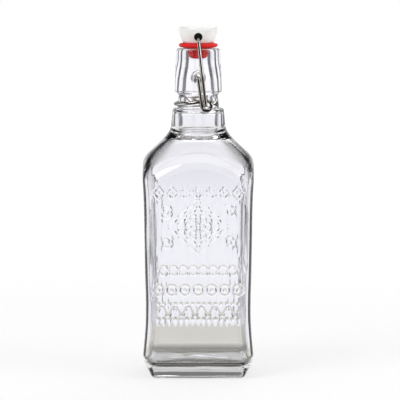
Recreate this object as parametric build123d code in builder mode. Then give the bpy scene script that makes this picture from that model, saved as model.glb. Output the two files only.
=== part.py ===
from build123d import *
import os
from math import asin, atan2, cos, hypot, radians, sin, sqrt

# Swing top bottle. Millimetres, +Z up, origin at the centre of the base, on the surface it stands on.
# The hinge axes of the closure run along Y. The thumb bow closes round the neck on the -X side.

# Glass body: a square section that is narrowest low down and widest at the heel and the shoulder
heel_width = 75.2
waist_width = 71.4
middle_width = 72.2
belt_width = 73.2
chest_width = 74.2
shoulder_width = 76.0
heel_height = 15.0
waist_height = 40.0
middle_height = 70.0
belt_height = 98.0
chest_drop = 17.0
corner_radius = 10.0
foot_inset = 6.6
foot_rise = 13.0
foot_blend_radius = 16.0
foot_edge_radius = 3.5
body_wall = 3.0
base_thickness = 9.0
cavity_heel_radius = 6.5
punt_radius = 23.5
punt_depth = 4.5

# Shoulder: a cone of revolution that meets the four flat sides in an arch, then sweeps up to the collar
shoulder_rim_clearance = 0.4
cone_top_radius = 27.5
cone_height = 20.6
neck_sweep_height = 13.4
shoulder_full_drop = 16.6
arch_blend_radius = 5.0

# Collar, neck and finish, from the shoulder to the rim
collar_base_height = 171.0
collar_base_radius = 18.5
collar_height = 11.0
collar_top_radius = 17.5
collar_edge_radius = 1.4
neck_height = 10.6
neck_low_radius = 14.2
neck_high_radius = 13.3
skirt_radius = 16.0
skirt_edge_radius = 1.0
skirt_drop = 24.6
finish_height = 30.4
rim_radius = 15.0
rim_edge_radius = 1.8
collar_bore_radius = 14.0
neck_bore_radius = 10.3
finish_bore_radius = 11.4
bore_blend_radius = 6.0
lip_bore_radius = 9.3
lip_length = 9.0
lip_edge_radius = 0.9

# Wires of the closure
wire_diameter = 2.3
pin_clearance = 0.08
wire_clearance = 0.05
collar_clearance = 0.25
arm_clearance = 0.4
pivot_drop = 19.5
pin_depth = 3.0
pin_pocket_depth = 1.4
dimple_radius = 4.1
eye_offset = 5.75
eye_drop = 18.75
eye_radius = 3.25
hook_offset = 0.62
bow_half_width = 16.0
bow_reach = 15.65
bow_drop = 18.6
pin_bend_radius = 1.1
arm_knee_rise = 4.0
arm_bend_radius = 25.0
crossover_lean = radians(25)
leg_bend_radius = 6.0
hook_reach = 14.9
hook_bend_radius = 1.8
bail_clearance = 0.10
bail_spread_drop = 24.0
bail_top_reach = 15.3
bail_top_bend_radius = 2.6
bail_side_bend_radius = 30.0

# Stopper head
head_height = 10.8
head_base_radius = 10.4
head_middle_radius = 12.4
head_middle_rise = 4.6
head_top_radius = 13.6
head_edge_radius = 1.7
bail_rise = 2.7
cross_hole_radius = 2.9
cross_hole_offset = 1.5
cross_hole_depth = 5.5
spigot_radius = 3.6
spigot_length = 8.6
barb_radius = 4.6
barb_height = 2.6
spigot_clearance = 0.05

# Rubber gasket: a flange on the rim and a ribbed plug in the mouth
seal_gap = 0.5
flange_radius = 13.3
flange_thickness = 3.4
flange_edge_radius = 1.6
plug_radius = 7.9
plug_tip_radius = 7.0
plug_length = 7.8
plug_nose_radius = 3.2
rib_count = 4
rib_radius = 0.35

# Places that follow from the sizes
shoulder_corner_radius = (shoulder_width / 2 - corner_radius) * sqrt(2) + corner_radius
shoulder_rim_radius = shoulder_corner_radius + shoulder_rim_clearance
cone_top_height = collar_base_height - neck_sweep_height
shoulder_rim_height = cone_top_height - cone_height
shoulder_height = cone_top_height - shoulder_full_drop
chest_height = shoulder_height - chest_drop
collar_top = collar_base_height + collar_height
skirt_base = collar_top + neck_height
rim_height = skirt_base + finish_height
skirt_widest = rim_height - skirt_drop
wire_radius = wire_diameter / 2
pivot_height = rim_height - pivot_drop
eye_height = pivot_height - eye_drop
hook_x = eye_offset - hook_offset
hook_height = eye_height + hook_offset
arm_layer = collar_top_radius + collar_clearance + wire_radius
arm_top_layer = skirt_radius + arm_clearance + wire_radius
bail_layer = arm_layer + wire_diameter + bail_clearance
flange_base = rim_height + seal_gap
head_base = flange_base + flange_thickness
bail_height = head_base + bail_rise
cross_hole_height = bail_height + cross_hole_offset


def square_body(inset, floor):
    """The square body, drawn in from the outside of the glass by inset, standing on floor."""
    sections = [
        (floor, heel_width),
        (heel_height, heel_width),
        (waist_height, waist_width),
        (middle_height, middle_width),
        (belt_height, belt_width),
        (chest_height, chest_width),
        (shoulder_height, shoulder_width),
        (collar_base_height, shoulder_width),
    ]
    with BuildPart() as block:
        for height, width in sections:
            side = width - 2 * inset
            with BuildSketch(Plane.XY.offset(height)):
                RectangleRounded(side, side, corner_radius - inset)
        loft()
    return block.part


def foot_of(block):
    """The flat face that a block stands on."""
    return block.faces().sort_by(Axis.Z)[0]


def shoulder_envelope(inset, neck_radius):
    """The turned envelope that trims the square body to the shoulder, drawn in by inset."""
    slope = atan2(cone_top_height - shoulder_rim_height, cone_top_radius - shoulder_rim_radius)
    step = Vector(-sin(slope), cos(slope)) * inset
    rim = Vector(shoulder_rim_radius, shoulder_rim_height) + step
    cone_top = Vector(cone_top_radius, cone_top_height) + step
    with BuildPart() as envelope:
        with BuildSketch(Plane.XZ):
            with BuildLine():
                cone = Line(rim, cone_top)
                sweep_up = TangentArc(cone_top, (neck_radius, collar_base_height), tangent=cone % 1)
                Polyline(sweep_up @ 1, (0, collar_base_height), (0, 0), (rim.X, 0), rim)
            make_face()
        revolve(axis=Axis.Z)
    return envelope.part


def corner_at(section, radius, height):
    """The corner of a turned section that lies nearest to a radius and a height."""
    return section.vertices().sort_by_distance((radius, height))[0]


def mouth_bore():
    """The space inside the collar, neck and finish, which swells and narrows with the glass outside."""
    lip_base = rim_height - lip_length
    bends = [
        (collar_bore_radius, collar_top - collar_edge_radius),
        (neck_bore_radius, collar_top + neck_height / 2),
        (finish_bore_radius, skirt_widest),
    ]
    with BuildPart() as bore:
        with BuildSketch(Plane.XZ) as bore_section:
            with BuildLine():
                Polyline(
                    (0, collar_base_height),
                    (collar_bore_radius, collar_base_height),
                    *bends,
                    (lip_bore_radius, lip_base),
                    (lip_bore_radius, rim_height),
                    (0, rim_height),
                    close=True,
                )
            make_face()
            for radius, height in bends:
                fillet(corner_at(bore_section, radius, height), bore_blend_radius)
        revolve(axis=Axis.Z)
    return bore.part


def side_planes(height):
    """The two outward planes, on the -Y and +Y sides, whose normals lie along the hinge axis."""
    front = Plane(origin=(0, 0, height), x_dir=(1, 0, 0), z_dir=(0, -1, 0))
    back = Plane(origin=(0, 0, height), x_dir=(-1, 0, 0), z_dir=(0, 1, 0))
    return front, back


# Bottle
outer_body = square_body(0, 0)
outer_envelope = shoulder_envelope(0, collar_base_radius)
inner_body = square_body(body_wall, base_thickness)
inner_envelope = shoulder_envelope(body_wall, collar_bore_radius)
mouth = mouth_bore()

with BuildPart() as cavity:
    add(inner_body)
    fillet(foot_of(cavity).edges(), cavity_heel_radius)
    add(inner_envelope, mode=Mode.INTERSECT)
    add(mouth)

with BuildPart() as bottle:
    # Square body with a tapered foot, whose edges are softened above and below
    add(outer_body)
    chamfer(foot_of(bottle).edges(), length=foot_inset, length2=foot_rise, reference=foot_of(bottle))
    taper = bottle.faces().filter_by(lambda face: 0 < face.center().Z < foot_rise)
    taper_top = taper.edges().filter_by(lambda edge: edge.center().Z > foot_rise / 2)
    fillet(taper_top.filter_by(lambda edge: edge.bounding_box().size.Z < foot_rise / 2), foot_blend_radius)
    fillet(foot_of(bottle).edges(), foot_edge_radius)
    add(outer_envelope, mode=Mode.INTERSECT)
    cone_edges = bottle.faces().filter_by(GeomType.CONE).edges()
    fillet(cone_edges.filter_by(GeomType.BSPLINE), arch_blend_radius)

    # Collar, neck and finish
    with BuildSketch(Plane.XZ) as neck_section:
        with BuildLine():
            Polyline(
                (0, collar_base_height),
                (collar_base_radius, collar_base_height),
                (collar_top_radius, collar_top),
                (neck_low_radius, collar_top),
                (neck_high_radius, skirt_base),
                (skirt_radius, skirt_base),
                (skirt_radius, skirt_widest),
                (rim_radius, rim_height),
                (0, rim_height),
                close=True,
            )
        make_face()
        fillet(corner_at(neck_section, collar_top_radius, collar_top), collar_edge_radius)
        fillet(corner_at(neck_section, skirt_radius, skirt_base), skirt_edge_radius)
        fillet(corner_at(neck_section, rim_radius, rim_height), rim_edge_radius)
    revolve(axis=Axis.Z)
    add(cavity.part, mode=Mode.SUBTRACT)

    # Push-up in the base
    with BuildSketch(Plane.XZ):
        with BuildLine():
            ThreePointArc(
                (-punt_radius, 0),
                (0, punt_depth),
                (punt_radius, 0),
            )
            Line((punt_radius, 0), (-punt_radius, 0))
        make_face()
        split(bisect_by=Plane.YZ)
    revolve(axis=Axis.Z, mode=Mode.SUBTRACT)

    # Dimples for the lever's pins
    for plane in side_planes(pivot_height):
        pocket_floor = skirt_radius - pin_depth
        with BuildSketch(plane.offset(pocket_floor)):
            Circle(wire_radius + pin_clearance)
        extrude(amount=pin_depth, mode=Mode.SUBTRACT)
        with BuildSketch(plane.offset(pocket_floor + pin_pocket_depth)):
            Circle(wire_radius + pin_clearance)
        with BuildSketch(plane.offset(skirt_radius)):
            Circle(dimple_radius)
        loft(mode=Mode.SUBTRACT)

    lip_edges = bottle.edges().filter_by(GeomType.CIRCLE).filter_by_position(
        Axis.Z, rim_height - wire_clearance, rim_height + wire_clearance
    )
    fillet(lip_edges.sort_by(SortBy.RADIUS)[0], lip_edge_radius)

bottle.part.label = "bottle"


# Stopper head
with BuildPart() as stopper_head:
    with BuildSketch(Plane.XZ) as head_section:
        with BuildLine():
            dome = Line((0, head_base + head_height), (head_top_radius, head_base + head_height))
            flank = ThreePointArc(
                dome @ 1,
                (head_middle_radius, head_base + head_middle_rise),
                (head_base_radius, head_base),
            )
            Polyline(
                flank @ 1,
                (spigot_radius, head_base),
                (spigot_radius, head_base - spigot_length + barb_height),
                (barb_radius, head_base - spigot_length + barb_height),
                (spigot_radius, head_base - spigot_length),
                (0, head_base - spigot_length),
                dome @ 0,
            )
        make_face()
        fillet(corner_at(head_section, head_top_radius, head_base + head_height), head_edge_radius)
    revolve(axis=Axis.Z)

    # Bore that the wire lies in, and a wide pocket at each end of it
    bore_radius = wire_radius + wire_clearance
    with BuildSketch(Plane.XZ.offset(-head_top_radius)):
        with Locations((0, bail_height)):
            Circle(bore_radius)
    extrude(amount=2 * head_top_radius, mode=Mode.SUBTRACT)
    for plane in side_planes(cross_hole_height):
        with BuildSketch(plane.offset(head_top_radius - cross_hole_depth)):
            Circle(cross_hole_radius)
        extrude(amount=cross_hole_depth, mode=Mode.SUBTRACT)

stopper_head.part.label = "stopper_head"


# Sealing gasket
with BuildPart() as sealing_gasket:
    plug_tip = flange_base - plug_length
    with BuildSketch(Plane.XZ) as gasket_section:
        with BuildLine():
            Polyline(
                (0, plug_tip),
                (plug_tip_radius, plug_tip),
                (plug_radius, flange_base),
                (flange_radius, flange_base),
                (flange_radius, head_base),
                (spigot_radius + spigot_clearance, head_base),
                (spigot_radius + spigot_clearance, head_base - spigot_length + barb_height + spigot_clearance),
                (barb_radius + spigot_clearance, head_base - spigot_length + barb_height + spigot_clearance),
                (barb_radius + spigot_clearance, head_base - spigot_length - spigot_clearance),
                (0, head_base - spigot_length - spigot_clearance),
                close=True,
            )
        make_face()
        fillet(corner_at(gasket_section, plug_tip_radius, plug_tip), plug_nose_radius)
        fillet(corner_at(gasket_section, flange_radius, flange_base), flange_edge_radius)
        fillet(corner_at(gasket_section, flange_radius, head_base), flange_edge_radius)
    revolve(axis=Axis.Z)

    # Sealing ribs round the plug
    rib_span = plug_length - plug_nose_radius
    for index in range(rib_count):
        share = (index + 0.5) / rib_count
        rib_z = flange_base - rib_span * share
        plug_surface = plug_radius - (plug_radius - plug_tip_radius) * (flange_base - rib_z) / plug_length
        with BuildSketch(Plane.XZ):
            with Locations((plug_surface, rib_z)):
                Circle(rib_radius)
        revolve(axis=Axis.Z)

sealing_gasket.part.label = "sealing_gasket"


# Bail wire: half of it as a swept wire, mirrored
bail_corner_height = bail_height - bail_spread_drop
bail_corner_x = hook_x * bail_spread_drop / (bail_height - hook_height)
with BuildPart() as bail_wire:
    with BuildLine() as bail_path:
        FilletPolyline(
            (0, 0, bail_height),
            (0, bail_top_reach, bail_height),
            (bail_corner_x, bail_layer, bail_corner_height),
            (hook_x, bail_layer, hook_height),
            (hook_x, hook_reach, hook_height),
            radius=[bail_top_bend_radius, bail_side_bend_radius, hook_bend_radius],
        )
    with BuildSketch(Plane(origin=bail_path.wires()[0] @ 0, z_dir=(0, 1, 0))):
        Circle(wire_radius)
    sweep()
    mirror(about=Plane.XZ)

bail_wire.part.label = "bail_wire"


# Lever wire: pin, arm, eye, leg and half of the bow as a swept wire, mirrored
arm_lean = atan2(eye_offset, eye_drop) - asin(eye_radius / hypot(eye_offset, eye_drop))
leg_fall = atan2(bow_drop - eye_drop + eye_radius, eye_offset + bow_reach)
leg_turn = radians(90) + leg_fall


def eye_point(angle):
    """A point of the eye in its outer layer, at an angle counted from +X towards +Z."""
    return Vector(eye_offset + eye_radius * cos(angle), arm_layer, eye_height + eye_radius * sin(angle))


def crossover_point(turn):
    """A point where the wire rises out of the eye and leans in towards the neck."""
    inward = Vector(-cos(crossover_lean), -sin(crossover_lean), 0)
    centre = eye_point(0) + inward * eye_radius
    return centre - inward * eye_radius * cos(turn) + Vector(0, 0, eye_radius * sin(turn))


arm_end = eye_point(radians(180) + arm_lean)
arm_knee = arm_end + Vector(-sin(arm_lean), 0, cos(arm_lean)) * arm_knee_rise
pin_tip = Vector(0, skirt_radius - pin_depth + pin_clearance, pivot_height)
pin_corner = Vector(0, arm_top_layer, pivot_height)
crossover_end = crossover_point(leg_turn)
leg_run_in = (crossover_end.Y - bow_half_width) / (sin(crossover_lean) * cos(leg_fall))
leg_knee = crossover_end + leg_run_in * Vector(
    -cos(crossover_lean) * cos(leg_fall), -sin(crossover_lean) * cos(leg_fall), -sin(leg_fall)
)
bow_tip = Vector(-bow_reach, 0, pivot_height - bow_drop)
bow_direction = Vector(bow_tip.X - leg_knee.X, 0, bow_tip.Z - leg_knee.Z).normalized()
bow_centre = bow_tip - bow_direction * bow_half_width
bow_start = bow_centre + Vector(0, bow_half_width, 0)
bow_middle = bow_centre + (bow_direction + Vector(0, 1, 0)) * bow_half_width * sin(radians(45))

with BuildPart() as lever_wire:
    with BuildLine() as lever_path:
        FilletPolyline(
            pin_tip,
            pin_corner,
            arm_knee,
            arm_end,
            radius=[pin_bend_radius, arm_bend_radius],
        )
        ThreePointArc(arm_end, eye_point(radians(270)), eye_point(0))
        ThreePointArc(eye_point(0), crossover_point(leg_turn / 2), crossover_end)
        FilletPolyline(crossover_end, leg_knee, bow_start, radius=leg_bend_radius)
        ThreePointArc(bow_start, bow_middle, bow_tip)
    with BuildSketch(Plane(origin=pin_tip, z_dir=(0, 1, 0))):
        Circle(wire_radius)
    sweep()
    mirror(about=Plane.XZ)

lever_wire.part.label = "lever_wire"


os.makedirs("parts", exist_ok=True)
export_step(bottle.part, "parts/bottle.step")
export_step(stopper_head.part, "parts/stopper_head.step")
export_step(sealing_gasket.part, "parts/sealing_gasket.step")
export_step(bail_wire.part, "parts/bail_wire.step")
export_step(lever_wire.part, "parts/lever_wire.step")
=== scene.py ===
"""Swing top bottle: the glass, its wire closure and the studio that shows them.

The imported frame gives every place. +Z is up and the front looks along -Y. Finishes, ornament and studio
are in metres; the sections of the glass and the gasket are in millimetres and are scaled by MM.
"""

import logging
import math
from dataclasses import dataclass, field
from enum import Enum
from itertools import accumulate
from typing import Any, Callable, Dict, List, Optional, Sequence, Tuple, Union

import bmesh
import bpy
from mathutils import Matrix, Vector


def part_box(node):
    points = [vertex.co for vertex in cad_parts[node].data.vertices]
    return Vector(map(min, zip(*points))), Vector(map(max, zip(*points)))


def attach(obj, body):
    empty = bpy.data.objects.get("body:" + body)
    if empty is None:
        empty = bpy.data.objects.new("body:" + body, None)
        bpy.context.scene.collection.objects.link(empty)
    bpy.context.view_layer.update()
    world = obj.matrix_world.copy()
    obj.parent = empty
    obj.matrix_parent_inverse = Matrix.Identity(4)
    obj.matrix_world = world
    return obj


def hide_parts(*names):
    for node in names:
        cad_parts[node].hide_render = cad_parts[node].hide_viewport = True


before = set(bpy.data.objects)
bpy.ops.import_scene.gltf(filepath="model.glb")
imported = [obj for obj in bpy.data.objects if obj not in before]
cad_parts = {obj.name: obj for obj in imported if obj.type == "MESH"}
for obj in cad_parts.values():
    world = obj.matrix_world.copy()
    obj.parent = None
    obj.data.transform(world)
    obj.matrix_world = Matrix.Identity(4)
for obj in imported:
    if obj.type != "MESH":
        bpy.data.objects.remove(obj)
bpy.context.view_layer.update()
LOG = logging.getLogger("swing_top_bottle")
MM = 0.001
TINY = 1e-7
WHITE = (1.0, 1.0, 1.0)
BLACK = (0.0, 0.0, 0.0)

Pair = Tuple[float, float]
Triple = Tuple[float, float, float]
Four = Tuple[float, float, float, float]
Number = Union["Value", float]
Material = bpy.types.Material
Mesh = bpy.types.Mesh
Piece = bpy.types.Object


class Body(str, Enum):
    """The moving bodies of the frame that a built piece rides on."""

    BOTTLE = "bottle"
    STOPPER = "stopper"


class Slot(str, Enum):
    """The material slots of the record, which also name the finishes."""

    GLASS = "clear_glass"
    STOPPER = "white_stopper"
    RUBBER = "red_rubber"
    WIRE = "bright_wire"


# Shader building ------------------------------------------


def operator(operation: str, swapped: bool = False) -> Callable[..., "Value"]:
    """Makes a method of Value that adds a Math node.

    Args:
        operation: The node's operation.
        swapped: Whether the value itself comes last, as for a number on its left.

    Returns:
        The method.
    """

    def method(value: "Value", *others: Number) -> "Value":
        """Adds the node and hands back its result."""
        inputs = (*others, value) if swapped else (value, *others)
        return value.tree.node("ShaderNodeMath", dict(enumerate(inputs)), {"operation": operation})

    return method


class Value:
    """A node's result, with the arithmetic of plain numbers."""

    __add__ = operator("ADD")
    __sub__ = operator("SUBTRACT")
    __rsub__ = operator("SUBTRACT", swapped=True)
    __mul__ = operator("MULTIPLY")
    __truediv__ = operator("DIVIDE")
    absolute = operator("ABSOLUTE")
    largest = operator("MAXIMUM")
    root = operator("SQRT")
    sine = operator("SINE")
    bearing = operator("ARCTAN2")

    def __init__(self, tree: "Tree", socket: Optional[bpy.types.NodeSocket]) -> None:
        """Keeps the socket and the tree that it belongs to."""
        self.tree = tree
        self.socket = socket

    def reach(self, other: "Value") -> "Value":
        """Length of the vector that has these two values as its sides."""
        return (self * self + other * other).root()

    def ramp(self, low: Number, high: Number, start: float = 0.0, end: float = 1.0) -> "Value":
        """Maps low..high to start..end along a smooth step, clamped.

        Args:
            low: Value that gives start.
            high: Value that gives end.
            start: Result at low.
            end: Result at high.

        Returns:
            The mapped value.
        """
        values = {"Value": self, "From Min": low, "From Max": high, "To Min": start, "To Max": end}
        return self.tree.node("ShaderNodeMapRange", values, {"interpolation_type": "SMOOTHSTEP"})

    def fade(self, low: Number, high: Number) -> "Value":
        """1 up to low, and smoothly down to 0 at high."""
        return self.ramp(low, high, 1.0, 0.0)


class Tree:
    """A node tree, built node by node."""

    def __init__(self, tree: bpy.types.NodeTree) -> None:
        """Empties the tree."""
        self.tree = tree
        self.tree.nodes.clear()

    def node(
        self,
        kind: str,
        values: Optional[Dict[Union[str, int], Any]] = None,
        settings: Optional[Dict[str, Any]] = None,
        output: Union[str, int] = 0,
    ) -> Value:
        """Adds a node.

        Args:
            kind: The node's type.
            values: Its inputs by name or number: numbers, colours, results, or a list of results.
            settings: Its properties, set before its inputs.
            output: The output that is handed back.

        Returns:
            The chosen output.
        """
        made = self.tree.nodes.new(kind)
        for name, setting in (settings or {}).items():
            setattr(made, name, setting)
        for name, value in (values or {}).items():
            entry = made.inputs[name]
            for one in value if isinstance(value, list) else [value]:
                if isinstance(one, Value):
                    self.tree.links.new(one.socket, entry)
                else:
                    entry.default_value = (*one, 1.0) if entry.type == "RGBA" else one
        return Value(self, made.outputs[output] if made.outputs else None)

    def split(self, vector: Value) -> List[Value]:
        """The three numbers of a vector."""
        outputs = self.node("ShaderNodeSeparateXYZ", {0: vector}).socket.node.outputs
        return [Value(self, output) for output in outputs]


class Shader(Tree):
    """A material's or a world's tree."""

    def place(self, source: str = "Object") -> Value:
        """An output of Texture Coordinate."""
        return self.node("ShaderNodeTexCoord", output=source)

    def ray(self, kind: str) -> Value:
        """An output of Light Path."""
        return self.node("ShaderNodeLightPath", output=kind)

    def facing(self) -> Value:
        """0 where a surface faces the eye, up to 1 where it is seen edge on."""
        return self.node("ShaderNodeLayerWeight", {"Blend": 0.5}, output="Facing")

    def noise(self, scale: float, detail: float = 3.0, stretch: Triple = WHITE) -> Value:
        """Noise on Object coordinates.

        Args:
            scale: Features to a metre.
            detail: Octaves.
            stretch: Factors on the three axes.

        Returns:
            The noise, about 0 to 1.
        """
        place = self.node("ShaderNodeMapping", {0: self.place(), "Scale": stretch})
        return self.node("ShaderNodeTexNoise", {"Vector": place, "Scale": scale, "Detail": detail})

    def mix(self, factor: Number, low: Union[Value, Triple], high: Union[Value, Triple]) -> Value:
        """Mixes two colours by a factor."""
        return self.node("ShaderNodeMix", {0: factor, 6: low, 7: high}, {"data_type": "RGBA"}, 2)

    def bump(self, height: Value, strength: float, distance: float) -> Value:
        """A Bump node on a height."""
        values = {"Strength": strength, "Distance": distance, "Height": height}
        return self.node("ShaderNodeBump", values, output="Normal")


def new_shader(name: str) -> Tuple[Material, Shader]:
    """Makes an empty material.

    Args:
        name: The material's name.

    Returns:
        The material and its shader.
    """
    material = bpy.data.materials.new(name)
    material.use_nodes = True
    return material, Shader(material.node_tree)


class Finish:
    """The finish of one slot, as the inputs of one Principled surface."""

    slot: Slot

    def inputs(self, shader: Shader) -> Dict[str, Any]:
        """The surface's inputs by name."""
        raise NotImplementedError

    def material(self) -> Material:
        """Builds the material."""
        made, shader = new_shader(self.slot.value)
        surface = shader.node("ShaderNodeBsdfPrincipled", self.inputs(shader))
        shader.node("ShaderNodeOutputMaterial", {"Surface": surface})
        return made


@dataclass(frozen=True)
class ClearGlass(Finish):
    """Clear pressed glass: rippled, stippled under the foot, and with painted grey shade in places.

    The shade is painted into the base colour where the glass is seen edge on, on the shoulder's slopes,
    on an arch below the shoulder, on the foot, and on the dots of the stippled ring.
    """

    slot: Slot = Slot.GLASS
    tint: Triple = WHITE
    # Painted shade where the glass is seen edge on and on the shoulder's slopes.
    edge_painted_shade: Triple = (0.26, 0.26, 0.255)
    edge_start: float = 0.72
    slope_facing: Pair = (0.49, 0.63)
    slope_rise: Pair = (0.130, 0.142)
    slope_fall: Pair = (0.160, 0.168)
    # Painted shade on the foot, darker towards the bottom.
    foot_painted_shade: Triple = (0.60, 0.595, 0.57)
    foot_shade_heights: Pair = (0.0060, 0.0125)
    # Painted shade on an arch of the front below the shoulder.
    arch_painted_shade: Triple = (0.87, 0.87, 0.885)
    arch_heights: Pair = (0.116, 0.142)
    arch_depths: Pair = (0.0365, 0.0371)
    ior: float = 1.5
    haze: float = 0.02
    haze_scale: float = 420.0
    haze_noise: Pair = (0.55, 0.9)
    ripple_scale: float = 34.0
    ripple_stretch: Triple = (1.0, 1.0, 0.4)
    ripple_height: float = 0.0011
    stipple_pitch: float = 0.0022
    stipple_jitter: float = 0.25
    stipple_share: float = 0.8
    stipple_fall: Pair = (0.00096, 0.0016)
    ring_start: Pair = (0.0231, 0.0234)
    ring_end: Pair = (0.0288, 0.0291)
    # Painted shade on the dots of the stippled ring.
    dot_painted_shade: Triple = (0.16, 0.155, 0.145)
    dot_reach: Pair = (0.22, 0.45)

    def inputs(self, shader: Shader) -> Dict[str, Any]:
        """The surface's inputs by name."""
        across, along, up = shader.split(shader.place())
        facing = shader.facing()
        # Painted shade on the shoulder's slopes, where they are seen at a slant.
        shoulder = up.ramp(*self.slope_rise) * up.fade(*self.slope_fall)
        slope = facing.ramp(*self.slope_facing) * shoulder
        depth = across.absolute().largest(along.absolute())
        # Painted shade on the arch below the shoulder.
        arch = up.ramp(*self.arch_heights) * depth.ramp(*self.arch_depths)
        # Painted shade on the foot, darker towards the bottom.
        colour = shader.mix(up.ramp(*self.foot_shade_heights), self.foot_painted_shade, self.tint)
        colour = shader.mix(arch, colour, self.arch_painted_shade)
        # Painted shade where the glass is seen edge on, joined with the slopes' painted shade.
        colour = shader.mix(facing.ramp(self.edge_start, 1.0).largest(slope), colour, self.edge_painted_shade)
        cells = {
            "Vector": shader.place(),
            "Scale": 1.0 / self.stipple_pitch,
            "Randomness": self.stipple_jitter,
        }
        dots = shader.node("ShaderNodeTexVoronoi", cells, {"feature": "SMOOTH_F1"}, "Distance")
        foot = up.fade(*self.stipple_fall)
        reach = across.reach(along)
        ring = reach.ramp(*self.ring_start) * reach.fade(*self.ring_end)
        # Painted shade on the dots of the stippled ring.
        dot_shade_mask = dots.fade(*self.dot_reach) * ring * foot
        ripple = shader.noise(self.ripple_scale, 1.0, self.ripple_stretch)
        height = ripple + dots * foot * self.stipple_share
        haze = shader.noise(self.haze_scale, 2.0)
        return {
            "Base Color": shader.mix(dot_shade_mask, colour, self.dot_painted_shade),
            "Roughness": haze.ramp(*self.haze_noise, 0.0, self.haze),
            "IOR": self.ior,
            "Transmission Weight": 1.0,
            "Normal": shader.bump(height, 1.0, self.ripple_height),
        }


@dataclass(frozen=True)
class WhiteStopper(Finish):
    """Opaque white stopper: softly glossy, faintly clouded and scuffed, with painted shade in its cross
    hole.
    """

    slot: Slot = Slot.STOPPER
    colour: Triple = (0.90, 0.89, 0.875)
    cloud: Triple = (0.85, 0.835, 0.81)
    cloud_scale: float = 160.0
    cloud_noise: Pair = (0.35, 0.75)
    scuff_scale: float = 700.0
    scuff_stretch: Triple = (1.0, 1.0, 0.2)
    scuff_noise: Pair = (0.5, 0.8)
    roughness: Pair = (0.24, 0.42)
    grain_scale: float = 2600.0
    grain: Pair = (0.08, 0.0003)
    # Painted shade in the cross hole.
    shade: Triple = (0.035, 0.033, 0.030)
    hole_height: float = 0.2311
    hole_radii: Pair = (0.0028, 0.0030)
    hole_ends: Pair = (0.0096, 0.0108)

    def inputs(self, shader: Shader) -> Dict[str, Any]:
        """The surface's inputs by name."""
        across, along, up = shader.split(shader.place())
        # Painted shade: the base colour goes dark inside the cross hole.
        inside = across.reach(up - self.hole_height).fade(*self.hole_radii)
        inside = inside * along.absolute().fade(*self.hole_ends)
        cloud = shader.noise(self.cloud_scale, 4.0).ramp(*self.cloud_noise)
        skin_colour = shader.mix(cloud, self.colour, self.cloud)
        scuff = shader.noise(self.scuff_scale, 3.0, self.scuff_stretch)
        return {
            "Base Color": shader.mix(inside, skin_colour, self.shade),
            "Roughness": scuff.ramp(*self.scuff_noise, *self.roughness),
            "IOR": 1.5,
            "Coat Weight": 0.25,
            "Coat Roughness": 0.12,
            "Subsurface Weight": 0.12,
            "Subsurface Radius": (0.004, 0.0035, 0.003),
            "Subsurface Scale": 0.5,
            "Normal": shader.bump(shader.noise(self.grain_scale, 2.0), *self.grain),
        }


@dataclass(frozen=True)
class RedRubber(Finish):
    """Red sealing rubber with a faint bloom and a fine moulded skin."""

    slot: Slot = Slot.RUBBER
    colour: Triple = (0.74, 0.004, 0.006)
    bloom: Triple = (0.80, 0.014, 0.012)
    bloom_scale: float = 900.0
    bloom_noise: Pair = (0.45, 0.8)
    wear_scale: float = 1200.0
    wear_noise: Pair = (0.3, 0.7)
    roughness: Pair = (0.40, 0.6)
    grain_scale: float = 3800.0
    grain: Pair = (0.15, 0.0003)

    def inputs(self, shader: Shader) -> Dict[str, Any]:
        """The surface's inputs by name."""
        bloom = shader.noise(self.bloom_scale, 5.0).ramp(*self.bloom_noise)
        wear = shader.noise(self.wear_scale, 3.0)
        return {
            "Base Color": shader.mix(bloom, self.colour, self.bloom),
            "Roughness": wear.ramp(*self.wear_noise, *self.roughness),
            "IOR": 1.36,
            "Normal": shader.bump(shader.noise(self.grain_scale, 3.0), *self.grain),
        }


@dataclass(frozen=True)
class BrightWire(Finish):
    """Drawn steel wire: bright, with painted shade at its rims, fine draw lines and faint dull patches.
    """

    slot: Slot = Slot.WIRE
    colour: Triple = (0.60, 0.57, 0.54)
    dull: Triple = (0.40, 0.38, 0.355)
    dull_scale: float = 500.0
    dull_stretch: Triple = (1.0, 1.0, 0.3)
    dull_noise: Pair = (0.45, 0.8)
    # Painted shade at the rims, where the wire is seen edge on.
    rim: Triple = (0.035, 0.032, 0.03)
    rim_shade_facing: Pair = (0.34, 0.72)
    line_scale: float = 5200.0
    line_stretch: Triple = (1.0, 1.0, 0.06)
    line_bump: Pair = (0.10, 0.0002)
    roughness: float = 0.07
    dull_roughness: float = 0.10
    line_roughness: float = 0.05

    def inputs(self, shader: Shader) -> Dict[str, Any]:
        """The surface's inputs by name."""
        dull = shader.noise(self.dull_scale, 4.0, self.dull_stretch).ramp(*self.dull_noise)
        lines = shader.noise(self.line_scale, 2.0, self.line_stretch)
        steel = shader.mix(dull, self.colour, self.dull)
        return {
            # Painted shade at the rims.
            "Base Color": shader.mix(shader.facing().ramp(*self.rim_shade_facing), steel, self.rim),
            "Metallic": 1.0,
            "Roughness": dull * self.dull_roughness + lines * self.line_roughness + self.roughness,
            "Normal": shader.bump(lines, *self.line_bump),
        }


# Mesh building --------------------------------------------


def link(name: str, mesh: Mesh, material: Material) -> Piece:
    """Puts a mesh in the scene as a smooth piece with one material.

    Args:
        name: The piece's name.
        mesh: Its mesh.
        material: Its finish.

    Returns:
        The piece.
    """
    piece = bpy.data.objects.new(name, mesh)
    bpy.context.scene.collection.objects.link(piece)
    mesh.materials.clear()
    mesh.materials.append(material)
    mesh.polygons.foreach_set("use_smooth", [True] * len(mesh.polygons))
    return piece


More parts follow.
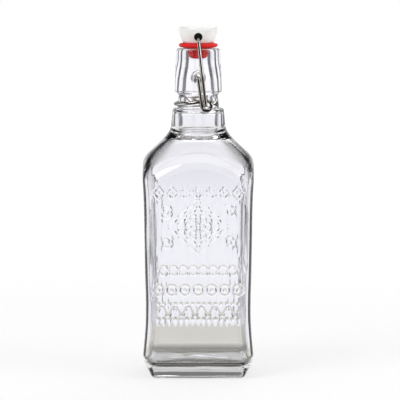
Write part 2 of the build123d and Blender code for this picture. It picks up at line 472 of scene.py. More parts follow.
def skin(name: str, rows: Sequence[Sequence[Vector]]) -> Mesh:
    """Joins closed rings of points into one closed surface, with a pole at each end.

    Args:
        name: The mesh's name.
        rows: Rings of equal length; the first and last hold a single point.

    Returns:
        The mesh, faces outwards when the rings run anticlockwise and climb.
    """
    points = [tuple(point) for row in rows for point in row]
    starts = [0, *accumulate(len(row) for row in rows)]
    faces = []
    for low, high, low_start, high_start in zip(rows, rows[1:], starts, starts[1:]):
        size = max(len(low), len(high))
        for step in range(size):
            after = (step + 1) % size
            bottom = (low_start + step, low_start + after)
            top = (high_start + after, high_start + step)
            if len(low) == 1:
                faces.append((low_start, *top))
            elif len(high) == 1:
                faces.append((*bottom, high_start))
            else:
                faces.append((*bottom, *top))
    mesh = bpy.data.meshes.new(name)
    mesh.from_pydata(points, [], faces)
    mesh.validate()
    shell = bmesh.new()
    shell.from_mesh(mesh)
    bmesh.ops.recalc_face_normals(shell, faces=shell.faces)
    shell.to_mesh(mesh)
    shell.free()
    return mesh


def polar(radius: float, angle: float, height: float) -> Vector:
    """The point at a radius, azimuth and height."""
    return Vector((radius * math.cos(angle), radius * math.sin(angle), height))


def arc(centre: Pair, radius: float, start: float, end: float, steps: int) -> List[Pair]:
    """Points of an arc in a (radius, height) section.

    Args:
        centre: The arc's centre.
        radius: Its radius.
        start: First angle in degrees, counted from outwards to upwards.
        end: Last angle in degrees.
        steps: Stretches between points.

    Returns:
        steps + 1 points.
    """
    angles = [math.radians(start + (end - start) * step / steps) for step in range(steps + 1)]
    return [(centre[0] + radius * math.cos(a), centre[1] + radius * math.sin(a)) for a in angles]


def dense(points: Sequence[Pair], step: float) -> List[Pair]:
    """Adds points along the straight stretches of a section so that none is longer than step."""
    out = [points[0]]
    for before, after in zip(points, points[1:]):
        span = math.hypot(after[0] - before[0], after[1] - before[1])
        parts = max(1, math.ceil(span / step))
        for part in range(1, parts + 1):
            share = part / parts
            out.append(tuple(a + (b - a) * share for a, b in zip(before, after)))
    return out


def round_ring(angles: Sequence[float], radius: float, height: float) -> List[Vector]:
    """A round ring of points, or a single point on the axis."""
    if radius < TINY:
        return [Vector((0.0, 0.0, height))]
    return [polar(radius, angle, height) for angle in angles]


def turned(name: str, section: Sequence[Pair], columns: int) -> Mesh:
    """Turns a section round the Z axis.

    Args:
        name: The mesh's name.
        section: (radius, height) points that start and end on the axis.
        columns: Points round the ring.

    Returns:
        The closed mesh.
    """
    angles = [2 * math.pi * column / columns for column in range(columns)]
    return skin(name, [round_ring(angles, radius, height) for radius, height in section])


def smooth_least(first: float, second: float, blend: float) -> float:
    """The smaller of two numbers, rounded off where they are within blend of each other."""
    near = max(blend - abs(first - second), 0.0) / blend
    return min(first, second) - near * near * blend / 4


def cubic(share: float, start: float, end: float, leave: float, arrive: float = 0.0) -> float:
    """A cubic curve between two values.

    Args:
        share: How far along it, 0 to 1.
        start: Value at 0.
        end: Value at 1.
        leave: Slope at 0, over the whole stretch.
        arrive: Slope at 1, over the whole stretch.

    Returns:
        The value there.
    """
    square, cube = share**2, share**3
    curve = (2 * cube - 3 * square + 1) * start + (cube - 2 * square + share) * leave
    return curve + (3 * square - 2 * cube) * end + (cube - square) * arrive


def eased(table: Sequence[Pair], place: float) -> float:
    """Reads a table of (place, value) pairs along a smooth cubic curve.

    Args:
        table: Pairs in rising order of place.
        place: Where to read.

    Returns:
        The value there, held level past the ends.
    """
    if place <= table[0][0]:
        return table[0][1]
    if place >= table[-1][0]:
        return table[-1][1]
    index = max(i for i in range(len(table) - 1) if table[i][0] <= place)

    def slope(i: int) -> float:
        """Slope at a table entry."""
        low, high = max(i - 1, 0), min(i + 1, len(table) - 1)
        if low == i or high == i:
            return 0.0
        return (table[high][1] - table[low][1]) / (table[high][0] - table[low][0])

    (x0, y0), (x1, y1) = table[index], table[index + 1]
    span = x1 - x0
    return cubic((place - x0) / span, y0, y1, span * slope(index), span * slope(index + 1))


# Geometry Nodes -------------------------------------------


class Growth(Tree):
    """A Geometry Nodes tree with named inputs, run once on a piece and made plain."""

    def __init__(self, name: str, inputs: Dict[str, float]) -> None:
        """Makes the tree.

        Args:
            name: The tree's name.
            inputs: Input names with their values.
        """
        super().__init__(bpy.data.node_groups.new(name, "GeometryNodeTree"))
        self.values = inputs
        face = self.tree.interface
        face.new_socket("Geometry", in_out="INPUT", socket_type="NodeSocketGeometry")
        for key in inputs:
            face.new_socket(key, in_out="INPUT", socket_type="NodeSocketFloat")
        face.new_socket("Geometry", in_out="OUTPUT", socket_type="NodeSocketGeometry")
        self.start = self.tree.nodes.new("NodeGroupInput")

    def given(self, name: str) -> Value:
        """A named input."""
        return Value(self, self.start.outputs[name])

    def run(self, piece: Piece, result: Value, material: Material) -> Mesh:
        """Ends the tree in Realize Instances and Set Material and runs it.

        Args:
            piece: The piece that it is run on.
            result: The geometry that it gives.
            material: The finish of what it gives.

        Returns:
            The plain mesh.
        """
        real = self.node("GeometryNodeRealizeInstances", {0: result})
        dressed = self.node("GeometryNodeSetMaterial", {"Geometry": real, "Material": material})
        self.node("NodeGroupOutput", {0: dressed})
        modifier = piece.modifiers.new(self.tree.name, "NODES")
        modifier.node_group = self.tree
        for item in self.tree.interface.items_tree:
            if item.in_out == "INPUT" and item.name in self.values:
                modifier[item.identifier] = self.values[item.name]
        graph = bpy.context.evaluated_depsgraph_get()
        mesh = bpy.data.meshes.new_from_object(piece.evaluated_get(graph), depsgraph=graph)
        piece.modifiers.remove(modifier)
        return mesh


# The glass ------------------------------------------------


@dataclass(frozen=True)
class Ornament:
    """Raised ornament on the front panel: bands of diamonds, waves, rings and beads, and a rosette.

    It is laid out flat, x across and y up, as the lines whose distance raises the glass.
    """

    half_width: float = 0.0270
    line_width: float = 0.00098
    line_top: float = 0.00016
    height: float = 0.00062
    reach_below: float = 0.008
    reach_above: float = 0.005
    band_heights: Four = (0.1275, 0.0745, 0.0610, 0.0465)
    repeats: int = 7
    diamond: Pair = (0.0074, 0.0086)
    ring_size: float = 0.0072
    bead_size: float = 0.0010
    bead_corners: int = 8
    row_beads: int = 15
    row_offset: float = 0.0052
    wave_height: float = 0.0032
    wave_turns: Tuple[int, int] = (4, 6)
    wave_points: int = 24
    round_corners: int = 24
    centre_height: float = 0.1045
    petals: int = 6
    petal_radius: float = 0.0064
    petal_size: float = 0.0044
    heart_size: float = 0.0034
    lozenge: Pair = (0.0300, 0.0270)
    lozenge_scales: Pair = (1.0, 1.36)
    curl_turns: float = 1.25
    curl_radii: Pair = (0.0010, 0.0050)
    curl_place: Pair = (0.0215, 0.0105)
    curl_lean: float = 0.6
    seams: Tuple[Four, ...] = ((-0.0308, 0.0905, 0.0026, 0.073), (0.0311, 0.1030, 0.0032, 0.060))
    seam_corners: int = 40

    def reach(self) -> Pair:
        """Lowest and highest height of the ornament in millimetres."""
        low, high = self.band_heights[3], self.band_heights[0]
        return (low - self.reach_below) / MM, (high + self.reach_above) / MM

    def _line(self, growth: Growth, y: float) -> Value:
        """A level line across the panel."""
        ends = {"Start": (-self.half_width, y, 0.0), "End": (self.half_width, y, 0.0)}
        return growth.node("GeometryNodeCurvePrimitiveLine", ends)

    @staticmethod
    def _copies(growth: Growth, points: Value, unit: Value) -> Value:
        """Repeats a unit on points."""
        placed = growth.node("GeometryNodeInstanceOnPoints", {"Points": points, "Instance": unit})
        return growth.node("GeometryNodeRealizeInstances", {0: placed})

    def _row(self, growth: Growth, unit: Value, count: int, y: float) -> Value:
        """Repeats a unit along a level line.

        Args:
            growth: The tree.
            unit: The curve that is repeated.
            count: How many.
            y: The line's height.

        Returns:
            The row.
        """
        values = {"Curve": self._line(growth, y), "Count": count}
        points = growth.node("GeometryNodeCurveToPoints", values, {"mode": "COUNT"})
        return self._copies(growth, points, unit)

    def _wave(self, growth: Growth, y: float, turns: int, phase: float) -> Value:
        """Makes a running wave.

        Args:
            growth: The tree.
            y: Its middle height.
            turns: Waves along it.
            phase: Where it starts, in radians.

        Returns:
            The wave.
        """
        values = {"Curve": self._line(growth, y), "Count": self.wave_points * turns}
        fine = growth.node("GeometryNodeResampleCurve", values)
        across = growth.split(growth.node("GeometryNodeInputPosition"))[0]
        angle = across * (math.pi * turns / self.half_width) + phase
        offset = growth.node("ShaderNodeCombineXYZ", {1: angle.sine() * self.wave_height})
        return growth.node("GeometryNodeSetPosition", {"Geometry": fine, "Offset": offset})

    @staticmethod
    def _loop(growth: Growth, size: Pair, corners: int) -> Value:
        """Makes a closed line: a diamond with four corners, near a circle or an oval with many."""
        values = {"Resolution": corners, "Radius": 0.5}
        ring = growth.node("GeometryNodeCurvePrimitiveCircle", values, {"mode": "RADIUS"})
        return growth.node("GeometryNodeTransform", {"Geometry": ring, "Scale": (*size, 1.0)})

    def _circle(self, growth: Growth, size: float) -> Value:
        """Makes a round loop."""
        return self._loop(growth, (size, size), self.round_corners)

    @staticmethod
    def _moved(growth: Growth, shape: Value, place: Pair, turn: float = 0.0) -> Value:
        """Moves and turns a shape in the ornament's plane."""
        values = {"Geometry": shape, "Translation": (*place, 0.0), "Rotation": (0.0, 0.0, turn)}
        return growth.node("GeometryNodeTransform", values)

    def _rosette(self, growth: Growth) -> List[Value]:
        """Makes the middle: a rosette of petals inside two lozenges, and four curls beside it."""
        y = self.centre_height
        spokes = self._loop(growth, (2 * self.petal_radius, 2 * self.petal_radius), self.petals)
        flower = self._copies(growth, spokes, self._circle(growth, self.petal_size))
        loops = [flower, self._circle(growth, self.heart_size)]
        for scale in self.lozenge_scales:
            size = (self.lozenge[0] * scale, self.lozenge[1] * scale)
            loops.append(self._loop(growth, size, 4))
        parts = [self._moved(growth, loop, (0.0, y)) for loop in loops]
        beside, above = self.curl_place
        for side, lift in ((-1, -1), (-1, 1), (1, -1), (1, 1)):
            values = {
                "Resolution": self.round_corners,
                "Rotations": self.curl_turns,
                "Start Radius": self.curl_radii[0],
                "End Radius": self.curl_radii[1],
                "Height": 0.0,
                "Reverse": side * lift > 0,
            }
            curl = growth.node("GeometryNodeCurveSpiral", values)
            place = (side * beside, y + lift * above)
            parts.append(self._moved(growth, curl, place, side * self.curl_lean))
        return parts

    def _lines(self, growth: Growth) -> Value:
        """Lays out every line of the ornament."""
        diamond = self._loop(growth, self.diamond, 4)
        ring = self._circle(growth, self.ring_size)
        bead = self._loop(growth, (self.bead_size, self.bead_size), self.bead_corners)
        top, upper, middle, lower = self.band_heights
        double, single = self.wave_turns
        parts = self._rosette(growth)
        for unit, y in ((diamond, top), (bead, top), (ring, middle), (bead, middle)):
            parts.append(self._row(growth, unit, self.repeats, y))
        for y in (lower - self.row_offset, lower + self.row_offset):
            parts.append(self._row(growth, bead, self.row_beads, y))
        for y, turns, phase in ((upper, double, 0.0), (upper, double, math.pi), (lower, single, 0.0)):
            parts.append(self._wave(growth, y, turns, phase))
        for x, y, width, length in self.seams:
            oval = self._loop(growth, (width, length), self.seam_corners)
            parts.append(self._moved(growth, oval, (x, y)))
        lines = growth.node("GeometryNodeJoinGeometry", {0: parts})
        return growth.node("GeometryNodeCurveToMesh", {"Curve": lines})

    def raise_from(self, piece: Piece, front: float, material: Material) -> Mesh:
        """Raises the ornament out of the front of a piece.

        Args:
            piece: The glass.
            front: The Y in front of which glass is raised.
            material: The finish.

        Returns:
            The glass with its ornament.
        """
        numbers = {
            "Line width": self.line_width,
            "Line top": self.line_top,
            "Height": self.height,
            "Front": front,
        }
        growth = Growth("raised_ornament", numbers)
        across, depth, up = growth.split(growth.node("GeometryNodeInputPosition"))
        flat = growth.node("ShaderNodeCombineXYZ", {0: across, 1: up})
        values = {0: self._lines(growth), "Sample Position": flat}
        near = growth.node("GeometryNodeProximity", values, {"target_element": "EDGES"}, "Distance")
        rise = near.fade(growth.given("Line top"), growth.given("Line width")) * growth.given("Height")
        offset = growth.node("ShaderNodeCombineXYZ", {1: rise * -1.0})
        settings = {"data_type": "FLOAT", "operation": "LESS_THAN"}
        chosen = growth.node("FunctionNodeCompare", {0: depth, 1: growth.given("Front")}, settings)
        values = {"Geometry": growth.given("Geometry"), "Selection": chosen, "Offset": offset}
        return growth.run(piece, growth.node("GeometryNodeSetPosition", values), material)


@dataclass(frozen=True)
class GlassBottle:
    """The bottle: a square body under a round shoulder, collar, neck and finish, hollow to the lip.

    Sizes are millimetres.
    """

    finish: ClearGlass = field(default_factory=ClearGlass)
    ornament: Ornament = field(default_factory=Ornament)
    half_widths: Tuple[Pair, ...] = (
        (0.0, 29.3), (0.5, 30.84), (2.3, 32.35), (5.1, 33.77), (7.8, 35.14), (10.6, 36.43),
        (13.3, 37.17), (16.5, 37.42), (20.0, 37.12), (30.0, 36.22), (40.0, 35.7), (55.0, 35.68),
        (70.0, 36.1), (98.0, 36.6), (110.0, 36.73), (125.0, 37.14), (140.0, 37.94), (150.0, 38.2),
    )
    foot_height: float = 16.5
    corner_radius: float = 10.0
    wall: float = 3.0
    base_thickness: float = 9.0
    cavity_heel_radius: float = 7.0
    punt_radius: float = 23.5
    punt_depth: float = 4.5
    cone: Tuple[Pair, Pair] = ((50.0, 137.0), (27.5, 157.6))
    collar_base: Pair = (18.5, 171.0)
    finish_foot: Pair = (16.0, 198.4)
    finish_taper: float = 0.0255
    collar_bore_radius: float = 14.0
    bore_bend: float = 3.0
    step_height: float = 160.8
    step_slope: float = 2.4
    lip_radius: float = 9.3
    rim_height: float = 223.0
    arch_blend: float = 5.0
    pivot_height: float = 203.5
    dimple_radius: float = 4.1
    dimple_margin: float = 1.2
    dimple_lip: float = 0.30
    lip_offset: float = 0.3
    lip_spread: float = 0.45
    pin_radius: float = 1.27
    pin_floor: float = 12.9
    cone_floor: float = 14.35
    least_corner: float = 1.5
    knee_blend: float = 1.0
    ornament_level: float = 60.0
    ornament_depth: float = 4.5
    column_level: float = 98.0
    front_columns: int = 144
    side_columns: int = 12
    back_columns: int = 24
    corner_columns: int = 7
    front_margin: float = 4.0
    first_level: float = 0.12
    least_step: float = 0.3
    front_step: float = 0.45
    edge_step: float = 1.6
    plain_step: float = 2.5
    neck_step: float = 2.4
    cavity_step: float = 6.0
    knee_step: float = 0.8
    cavity_breaks: Pair = (128.0, 130.0)
    knee_drops: Pair = (8.0, 7.0)
    heel_steps: int = 14
    punt_rings: int = 12
    bearing_shares: Triple = (0.35, 0.7, 1.0)
    floor_shares: Triple = (0.75, 0.5, 0.25)
    floor_rise: float = 0.8
    floor_peak: float = 0.9

    def _angles(self) -> List[float]:
        """Azimuths of the columns, close together across the front panel."""
        half = self._half_width(self.column_level)
        front = math.atan2(half - self.front_margin, half)
        plain = math.atan2(half - self.corner_radius, half)
        flats = (front, plain, plain, plain)
        counts = (self.front_columns, self.side_columns, self.back_columns, self.side_columns)
        angles: List[float] = []
        for side, (flat, count) in enumerate(zip(flats, counts)):
            middle = -math.pi / 2 + side * math.pi / 2
            for step in range(count):
                across = math.tan(flat) * (2 * step / count - 1)
                angles.append(middle + math.atan(across))
            gap = math.pi / 2 - flat - flats[(side + 1) % 4]
            for step in range(self.corner_columns):
                angles.append(middle + flat + gap * step / self.corner_columns)
        return angles

    def _half_width(self, height: float) -> float:
        """Half the body's width at a height."""
        return eased(self.half_widths, height)

    @staticmethod
    def _square(angle: float, half: float, corner: float) -> float:
        """Radius of a square with rounded corners in one direction.

        Args:
            angle: The direction.
            half: Half the square's width.
            corner: Its corner radius.

        Returns:
            The distance from the centre.
        """
        turn = abs((angle + math.pi / 4) % (math.pi / 2) - math.pi / 4)
        if half * math.tan(turn) <= half - corner:
            return half / math.cos(turn)
        centre = half - corner
        along = centre * (math.cos(turn) + math.sin(turn))
        aside = centre * (math.cos(turn) - math.sin(turn))
        return along + math.sqrt(max(corner**2 - aside**2, 0.0))

    def _envelope(self, height: float, inset: float) -> float:
        """Radius of the turned shoulder at a height, drawn in by inset."""
        (low_r, low_z), (high_r, high_z) = self.cone
        slope = (high_r - low_r) / (high_z - low_z)
        lean = math.atan2(high_z - low_z, low_r - high_r)
        shift = inset / math.sin(lean)
        cone = low_r + slope * (height - low_z) - shift
        if inset:
            knee = low_r + slope * (self.step_height - low_z) - shift
            step = knee - self.step_slope * (height - self.step_height)
            inner = smooth_least(cone, step, self.knee_blend)
            return -smooth_least(-inner, -self.collar_bore_radius, self.bore_bend)
        if height <= high_z:
            return cone
        end_r, end_z = self.collar_base
        span = end_z - high_z
        return cubic(min((height - high_z) / span, 1.0), high_r, end_r, slope * span)

    def _ring(
        self, angles: Sequence[float], height: float, inset: float = 0.0, tuck: float = 0.0
    ) -> List[Vector]:
        """One level of the body or shoulder.

        Args:
            angles: The columns' azimuths.
            height: The level in millimetres.
            inset: How far inside the outer glass it lies.
            tuck: How far the cavity's heel has drawn it in.

        Returns:
            The ring of points in metres.
        """
        widest = self._half_width(max(height, self.foot_height))
        if not inset:
            tuck = widest - self._half_width(height)
        half = widest - inset - tuck
        corner = max(self.corner_radius - inset - tuck, self.least_corner)
        round_radius = self._envelope(height, inset)
        ring = []
        for angle in angles:
            radius = smooth_least(self._square(angle, half, corner), round_radius, self.arch_blend)
            ring.append(polar(radius, angle, height) * MM)
        return ring

    def _dimpled(self, point: Vector) -> Vector:
        """Presses the two pin dimples, with their raised lips, into a point of the finish."""
        x, y, z = point / MM
        reach = math.hypot(x, z - self.pivot_height)
        if reach > self.dimple_radius + self.dimple_margin or abs(y) < self.pin_floor:
            return point
        share = (reach - self.pin_radius) / (self.dimple_radius - self.pin_radius)
        off = (reach - self.dimple_radius - self.lip_offset) / self.lip_spread
        lip = math.exp(-(off**2)) * self.dimple_lip
        depth = abs(y) + lip
        if reach <= self.pin_radius:
            depth = self.pin_floor
        elif share < 1:
            cone = self.cone_floor + (self.finish_foot[0] - self.cone_floor) * share
            depth = min(depth, cone + lip)
        return Vector((x, math.copysign(depth, y), z)) * MM

    @staticmethod
    def _round(angles: Sequence[float], radius: float, height: float) -> List[Vector]:
        """A round ring of points in metres, from sizes in millimetres."""
        return [point * MM for point in round_ring(angles, radius, height)]

    def _levels(self) -> List[float]:
        """Heights of the body's levels, close together at the edge and the ornament."""
        lower, upper = self.ornament.reach()
        levels = [self.first_level]
        while levels[-1] < self.collar_base[1]:
            place = levels[-1]
            if lower <= place <= upper:
                step = self.front_step
            elif place < self.foot_height or place > upper:
                step = min(self.least_step + place / 4, self.edge_step)
            else:
                step = self.plain_step
            levels.append(min(place + step, self.collar_base[1]))
        return levels

    def _neck_section(self) -> List[Pair]:
        """Outside of the collar, neck and finish, and over the lip into the bore."""
        collar = [(18.4, 172.0), (18.0, 176.5)]
        collar += arc((16.2, 180.6), 1.4, 5, 90, 6)
        neck = arc((15.0, 182.8), 0.8, -100, -170, 4)
        neck += [(14.1, 185.0), (13.7, 188.0), (13.3, 190.6)]
        finish = arc((14.9, 193.8), 1.15, -105, 0, 7)
        finish += [(16.0, 198.2)]
        foot_radius, foot = self.finish_foot
        # Rows half a millimetre apart, for the dimples.
        finish += [(foot_radius - self.finish_taper * step / 2, foot + step / 2) for step in range(21)]
        finish += [(15.6, 212.0), (15.3, 218.0)]
        lip = arc((13.1, 221.1), 1.9, 0, 90, 8)
        lip += arc((10.4, self.rim_height - 1.1), 1.1, 90, 180, 6)
        bore = [(self.lip_radius, 214.6), (9.6, 211.5), (10.5, 206.5), (11.2, 202.0), (11.4, 198.4)]
        bore += arc((17.3, 188.6), 7.0, 142, 218, 10)
        bore += arc((9.5, 177.4), 4.5, 40, 0, 5)
        bore += [(self.collar_bore_radius, 174.0)]
        return dense(collar + neck + finish + lip + bore, self.neck_step)

    def _cavity_levels(self) -> List[Pair]:
        """Heights and tucks of the cavity, from the neck down to the edge of its floor."""
        floor = self.base_thickness
        heel = self.cavity_heel_radius
        before, after = self.cavity_breaks
        below, above = (self.step_height - drop for drop in self.knee_drops)
        heights = self._even_levels(floor + heel, before, self.cavity_step)
        heights += self._even_levels(after, below, self.plain_step)
        heights += self._even_levels(above, self.collar_base[1], self.knee_step)
        out = [(height, 0.0) for height in reversed(heights)]
        for step in range(1, self.heel_steps + 1):
            angle = math.radians(90 * step / self.heel_steps)
            out.append((floor + heel * (1 - math.sin(angle)), heel * (1 - math.cos(angle))))
        return out

    @staticmethod
    def _even_levels(low: float, high: float, step: float) -> List[float]:
        """Evenly spaced heights, at most a step apart."""
        parts = math.ceil((high - low) / step)
        return [low + (high - low) * part / parts for part in range(parts + 1)]

    def rows(self) -> List[List[Vector]]:
        """All rings of the glass, from the middle of the base round the outside and back inside.

        Returns:
            The rings, with one point at each end.
        """
        angles = self._angles()
        rows = [self._round(angles, 0.0, self.punt_depth)]
        bowl = (self.punt_radius**2 + self.punt_depth**2) / (2 * self.punt_depth)
        for step in range(1, self.punt_rings + 1):
            radius = self.punt_radius * step / self.punt_rings
            height = self.punt_depth - bowl + math.sqrt(bowl**2 - radius**2)
            rows.append(self._round(angles, radius, max(height, 0.0)))
        edge = self._ring(angles, 0.0)
        inner = rows[-1]
        for share in self.bearing_shares:
            rows.append([a.lerp(b, share) for a, b in zip(inner, edge)])
        for height in self._levels():
            rows.append(self._ring(angles, height))
        for radius, height in self._neck_section():
            ring = self._round(angles, radius, height)
            outside = radius > self.pin_floor
            rows.append([self._dimpled(point) for point in ring] if outside else ring)
        for height, tuck in self._cavity_levels():
            rows.append(self._ring(angles, height, self.wall, tuck))
        floor_edge = rows[-1]
        for share in self.floor_shares:
            rise = self.floor_rise * (1 - share) * MM
            rows.append([Vector((p.x * share, p.y * share, p.z + rise)) for p in floor_edge])
        rows.append(self._round(angles, 0.0, self.base_thickness + self.floor_peak))
        return rows

    def build(self) -> Piece:
        """Builds the glass with its ornament in place of the plain bottle.

        Returns:
            The piece.
        """
        material = self.finish.material()
        blank = link("glass_blank", skin("glass_blank", self.rows()), material)
        front = -(self._half_width(self.ornament_level) - self.ornament_depth) * MM
        mesh = self.ornament.raise_from(blank, front, material)
        bpy.data.objects.remove(blank)
        piece = link("glass_bottle", mesh, material)
        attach(piece, Body.BOTTLE.value)
        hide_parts("bottle")
        return piece


# The closure ----------------------------------------------


@dataclass(frozen=True)
class SealingGasket:
    """Rubber gasket: a tapered flange on the rim and a ribbed plug in the mouth, in millimetres."""

    finish: RedRubber = field(default_factory=RedRubber)
    rim_height: float = 223.0
    rim_gap: float = 0.03
    flange_radius: float = 13.3
    flange_edge: float = 1.25
    flange_taper: float = 2.6
    plug_radius: float = 7.9
    plug_tip_radius: float = 7.0
    plug_length: float = 7.3
    nose_radius: float = 3.2
    ribs: int = 6
    rib_height: float = 0.28
    rib_points: int = 6
    rib_stop: float = 0.3
    spigot_radius: float = 3.65
    spigot_depths: Pair = (3.0, 3.2)
    section_step: float = 0.8
    columns: int = 96

    def _section(self, top: float) -> List[Pair]:
        """The gasket's section, from the plug's tip out and up to the head, and in to the spigot."""
        seat = self.rim_height + self.rim_gap
        tip = seat - self.plug_length
        nose = self.nose_radius
        section = [(0.0, tip)]
        section += arc((self.plug_tip_radius - nose, tip + nose), nose, -90, 0, 8)
        start, end = tip + nose, seat - self.rib_stop
        points = self.ribs * self.rib_points
        for step in range(1, points + 1):
            share = step / points
            radius = self.plug_tip_radius + (self.plug_radius - self.plug_tip_radius) * share
            rib = self.rib_height * 0.5 * (1 - math.cos(2 * math.pi * self.ribs * share))
            section.append((radius + rib, start + (end - start) * share))
        rim = self.flange_radius - self.flange_edge
        section.append((rim - self.flange_taper, seat))
        section += arc((rim, (seat + top) / 2), self.flange_edge, -78, 78, 14)
        section.append((rim - self.flange_taper, top))
        wall, floor = (top - depth for depth in self.spigot_depths)
        section += [(self.spigot_radius, top), (self.spigot_radius, wall), (0.0, floor)]
        return [(radius * MM, height * MM) for radius, height in dense(section, self.section_step)]

    def build(self) -> Piece:
        """Builds the gasket in place of the plain one.

        Returns:
            The piece.
        """
        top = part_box("sealing_gasket")[1].z / MM
        material = self.finish.material()
        mesh = turned("ribbed_gasket", self._section(top), self.columns)
        piece = link("ribbed_gasket", mesh, material)
        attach(piece, Body.STOPPER.value)
        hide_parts("sealing_gasket")
        return piece


@dataclass(frozen=True)
class Closure:
    """The moving closure: the stopper head, its gasket and the two wires."""

    gasket: SealingGasket = field(default_factory=SealingGasket)
    head_finish: WhiteStopper = field(default_factory=WhiteStopper)
    wire_finish: BrightWire = field(default_factory=BrightWire)

    @staticmethod
    def _dress(node: str, material: Material) -> Piece:
        """Gives a CAD node a finish."""
        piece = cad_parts[node]
        piece.data.materials.clear()
        piece.data.materials.append(material)
        return piece

    def build(self) -> List[Piece]:
        """Builds and dresses the closure.

        Returns:
            Its pieces.
        """
        wire = self.wire_finish.material()
        return [
            self.gasket.build(),
            self._dress("stopper_head", self.head_finish.material()),
            self._dress("bail_wire", wire),
            self._dress("lever_wire", wire),
        ]


# The studio -----------------------------------------------


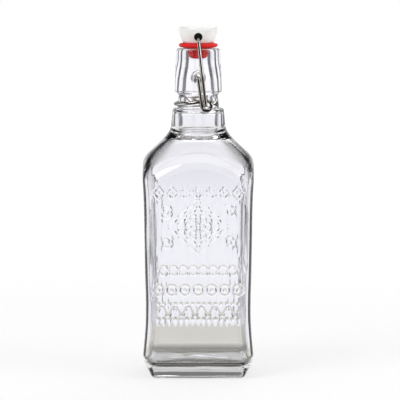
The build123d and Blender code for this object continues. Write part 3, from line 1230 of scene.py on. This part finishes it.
@dataclass(frozen=True)
class Studio:
    """Pale floor, soft lamps, a white surround and the camera.

    Floor and surround are plain white where the camera sees them. Clear and glossy rays see a grey
    table, darker stretches between the lobes ahead and to the sides, and a dark place for the camera,
    which draw the edges of glass and steel.
    """

    camera_distance: float = 2.350
    camera_height: float = 0.370
    clip: Pair = (0.05, 50.0)
    aim: Triple = (0.0012, 0.0, 0.1187)
    frame_width: float = 0.274
    sensor: float = 36.0
    floor_size: float = 8.0
    floor_strength: float = 1.04
    floor_colour: Triple = (0.9, 0.9, 0.9)
    shadow_share: float = 0.4
    shadow_reach: Pair = (0.25, 0.9)
    backlight: Triple = (0.88, 0.88, 0.94)
    surround: Triple = (1.01, 1.01, 1.06)
    table: Triple = (0.66, 0.65, 0.615)
    table_edge: Pair = (0.235, 0.247)
    # Painted shade under the bottle, seen only through the glass.
    under: float = 0.42
    under_reach: Pair = (0.060, 0.120)
    pattern_reach: Pair = (0.22, 0.34)
    between: float = 0.07
    side_light: float = 0.95
    bright_turn: Pair = (0.24, 0.30)
    side_turn: Pair = (0.52, 0.74)
    clear_up: Four = (0.22, 0.36, 1.0, 0.30)
    clear_top: Four = (0.50, 0.70, 0.0, 0.42)
    mirror_along: Four = (-0.62, -0.20, 0.03, 1.0)
    mirror_up: Four = (0.16, 0.40, 1.0, 0.08)
    mirror_top: Four = (0.75, 0.95, 0.0, 0.55)
    soft: float = 0.62
    lamp_boxes: Tuple[Tuple[str, Triple, float, float], ...] = (
        ("key_box", (-0.9, -0.9, 1.3), 0.8, 9.0),
        ("fill_box", (1.2, -0.6, 0.9), 0.9, 6.0),
        ("back_box", (0.3, 1.4, 1.2), 1.0, 6.0),
    )

    @staticmethod
    def _rays(shader: Shader) -> Tuple[Value, Value, Value, Value]:
        """Whether a ray comes from the camera, a gloss, a clear surface or a matt one."""
        kinds = ("Is Camera Ray", "Is Glossy Ray", "Is Transmission Ray", "Diffuse Depth")
        camera, glossy, through, bounces = [shader.ray(kind) for kind in kinds]
        return camera, glossy, through, bounces.ramp(0.0, 1.0)

    def _lobes(self, across: Value, along: Value) -> Value:
        """Full strength ahead, behind and well to the sides, with a dark stretch between them."""
        turn = across.bearing(along.absolute()).absolute()
        ahead = turn.ramp(*self.bright_turn, 1.0, self.between)
        return ahead.largest(turn.ramp(*self.side_turn, self.between, self.side_light))

    def floor(self) -> None:
        """Lays the floor: white where it is seen, a grey table through the glass with a painted shade
        under the bottle, and a soft shadow.
        """
        half = self.floor_size / 2
        corners = [(-half, -half, 0.0), (half, -half, 0.0), (half, half, 0.0), (-half, half, 0.0)]
        mesh = bpy.data.meshes.new("studio_floor")
        mesh.from_pydata(corners, [], [(0, 1, 2, 3)])
        material, shader = new_shader("studio_floor")
        camera, glossy, through, bounced = self._rays(shader)
        across, along, _ = shader.split(shader.place())
        reach = across.reach(along)
        pattern = (1.0 - self._lobes(across, along)) * reach.ramp(*self.pattern_reach)
        # Painted shade under the bottle for clear rays, with the darker stretches between the lobes.
        shade = reach.ramp(*self.under_reach, self.under, 1.0) * (1.0 - pattern)
        beyond = shader.mix(reach.ramp(*self.table_edge), self.table, self.backlight)
        clear = shader.mix(shade.largest(bounced), BLACK, beyond)
        colour = shader.mix(through, WHITE, clear)
        mirror = (along / reach.largest(MM)).ramp(*self.mirror_along)
        gloss = glossy * (1.0 - through)
        strength = self.floor_strength - gloss * (self.floor_strength - mirror)
        matt = shader.node("ShaderNodeBsdfDiffuse", {"Color": self.floor_colour})
        glow = shader.node("ShaderNodeEmission", {"Color": colour, "Strength": strength})
        shadow = (1.0 - reach.ramp(*self.shadow_reach)) * self.shadow_share
        share = camera * (1.0 - shadow) + glossy + through
        surface = shader.node("ShaderNodeMixShader", {0: share, 1: matt, 2: glow})
        shader.node("ShaderNodeOutputMaterial", {"Surface": surface})
        link("studio_floor", mesh, material)

    def world(self) -> None:
        """Sets the surround."""
        world = bpy.data.worlds.new("studio_surround")
        world.use_nodes = True
        bpy.context.scene.world = world
        shader = Shader(world.node_tree)
        camera, glossy, through, bounced = self._rays(shader)
        across, along, up = shader.split(shader.place("Generated"))
        clear = self._lobes(across, along) * up.ramp(*self.clear_up)
        clear = clear.largest(up.ramp(*self.clear_top)).largest(bounced)
        mirror = along.ramp(*self.mirror_along) * up.ramp(*self.mirror_up)
        mirror = mirror.largest(up.ramp(*self.mirror_top))
        strength = camera * (1.0 - self.soft) + self.soft
        strength = strength * (1.0 - glossy) + mirror * glossy
        strength = strength * (1.0 - through) + clear * through
        colour = shader.mix(through, WHITE, self.surround)
        surround = shader.node("ShaderNodeBackground", {"Color": colour, "Strength": strength})
        shader.node("ShaderNodeOutputWorld", {"Surface": surround})

    def _hang(self, name: str, data: bpy.types.ID, place: Triple) -> Piece:
        """Puts a lamp or the camera at a place, turned to the aim."""
        holder = bpy.data.objects.new(name, data)
        holder.location = place
        towards = Vector(self.aim) - Vector(place)
        holder.rotation_euler = towards.to_track_quat("-Z", "Y").to_euler()
        bpy.context.scene.collection.objects.link(holder)
        return holder

    def lamps(self) -> None:
        """Hangs plain soft boxes."""
        for name, place, size, power in self.lamp_boxes:
            lamp = bpy.data.lights.new(name, "AREA")
            lamp.shape = "SQUARE"
            lamp.size = size
            lamp.energy = power
            self._hang(name, lamp, place)

    def camera(self) -> None:
        """Stands the camera in front, a little above the bottle."""
        place = (self.aim[0], -self.camera_distance, self.camera_height)
        data = bpy.data.cameras.new("front_camera")
        data.sensor_width = self.sensor
        data.lens = self.sensor * (Vector(self.aim) - Vector(place)).length / self.frame_width
        data.clip_start, data.clip_end = self.clip
        bpy.context.scene.camera = self._hang("front_camera", data, place)

    def build(self) -> None:
        """Builds the whole studio."""
        self.floor()
        self.world()
        self.lamps()
        self.camera()
        bpy.context.scene.view_settings.view_transform = "Standard"


def report(pieces: Sequence[Piece]) -> None:
    """Logs each piece with its number of faces and its size."""
    for piece in pieces:
        size = piece.dimensions / MM
        LOG.info("%s: %d faces, %.1f x %.1f x %.1f mm", piece.name, len(piece.data.polygons), *size)


def main() -> None:
    """Builds the bottle, its closure and the studio."""
    logging.basicConfig(level=logging.INFO, format="%(name)s %(message)s")
    pieces = [GlassBottle().build()]
    pieces += Closure().build()
    Studio().build()
    report(pieces)


if __name__ == "__main__":
    main()
